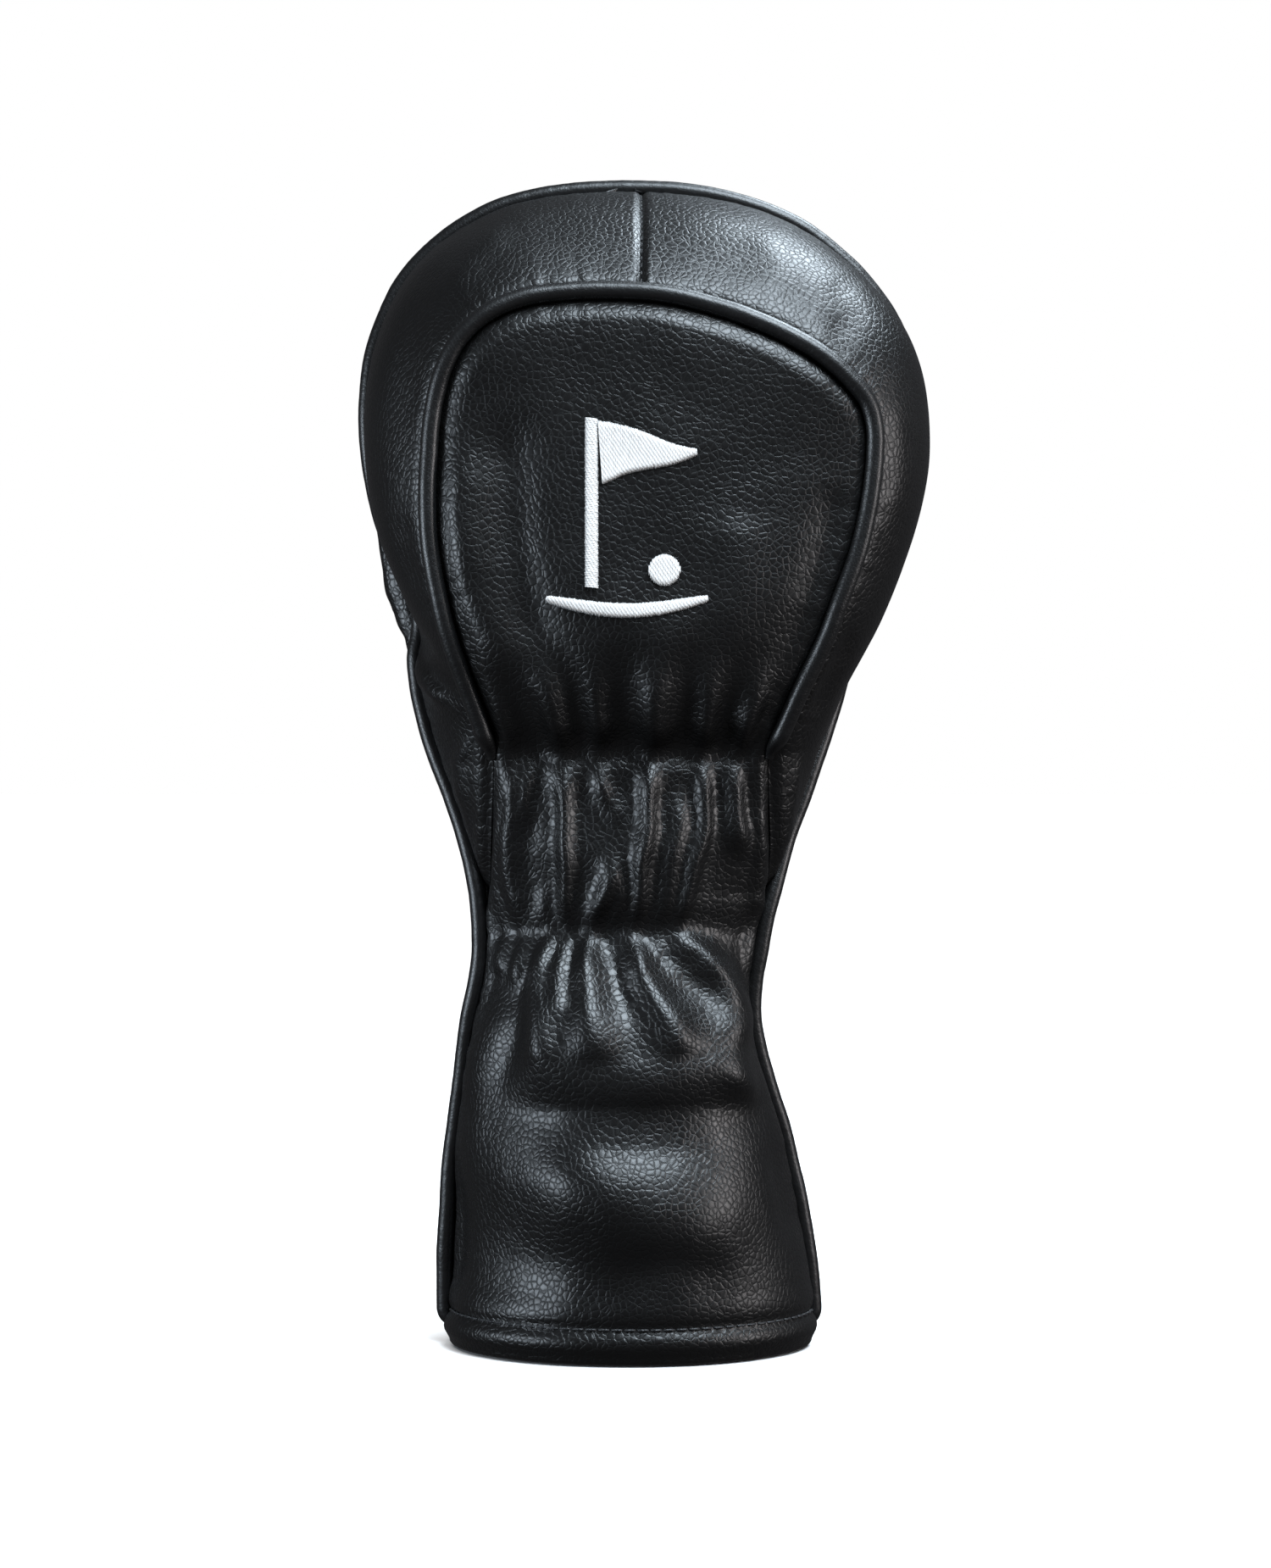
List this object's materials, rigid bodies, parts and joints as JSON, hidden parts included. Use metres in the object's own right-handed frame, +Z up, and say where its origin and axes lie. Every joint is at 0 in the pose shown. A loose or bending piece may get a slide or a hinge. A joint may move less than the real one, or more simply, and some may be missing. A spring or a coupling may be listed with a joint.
{
  "type": "driver head cover",
  "caption": "Soft black leather golf driver head cover with piped crescent gussets, gathered elastic waist, plush lining and an embroidered flag, standing on its flared hem.",
  "frame": {"origin": "middle of the whole cover in plan, on the plane that the hem stands on", "axes": "+Z up from hem to crown; -Y out of the sole face with the embroidered flag; +X to the right when facing that side"},
  "size_m": [0.1638, 0.096, 0.3339],
  "materials": {
    "black_leather": "pebbled black synthetic leather, semi-gloss",
    "piping_leather": "smooth black leather folded round a cord, finely wrinkled across",
    "padding_foam": "open-cell foam sheet, matte",
    "plush_lining": "short-pile plush, matte",
    "elastic_webbing": "ribbed woven elastic",
    "piping_cord": "twisted cotton filler cord",
    "dark_thread": "bonded sewing thread, slight sheen",
    "white_thread": "satin-stitch embroidery thread, silky"
  },
  "bodies": {
    "root": {"front_panel": "black_leather", "back_panel": "black_leather", "gusset_left": "black_leather", "gusset_right": "black_leather", "gusset_foam_left": "padding_foam", "gusset_foam_right": "padding_foam", "front_foam": "padding_foam", "back_foam": "padding_foam", "waist_elastic": "elastic_webbing", "lining_back": "plush_lining", "lining_front": "plush_lining", "hem_facing": "black_leather", "crown_piping_cover": "piping_leather", "crown_piping_cord": "piping_cord", "sole_piping_cover": "piping_leather", "sole_piping_cord": "piping_cord", "upper_gather_stitching": "dark_thread", "lower_gather_stitching": "dark_thread", "hem_stitching_back": "dark_thread", "hem_stitching_front": "dark_thread", "top_seam_stitching": "dark_thread", "emblem_flagstick": "white_thread", "emblem_pennant": "white_thread", "emblem_ground": "white_thread", "emblem_ball": "white_thread"}
  },
  "joints": []
}
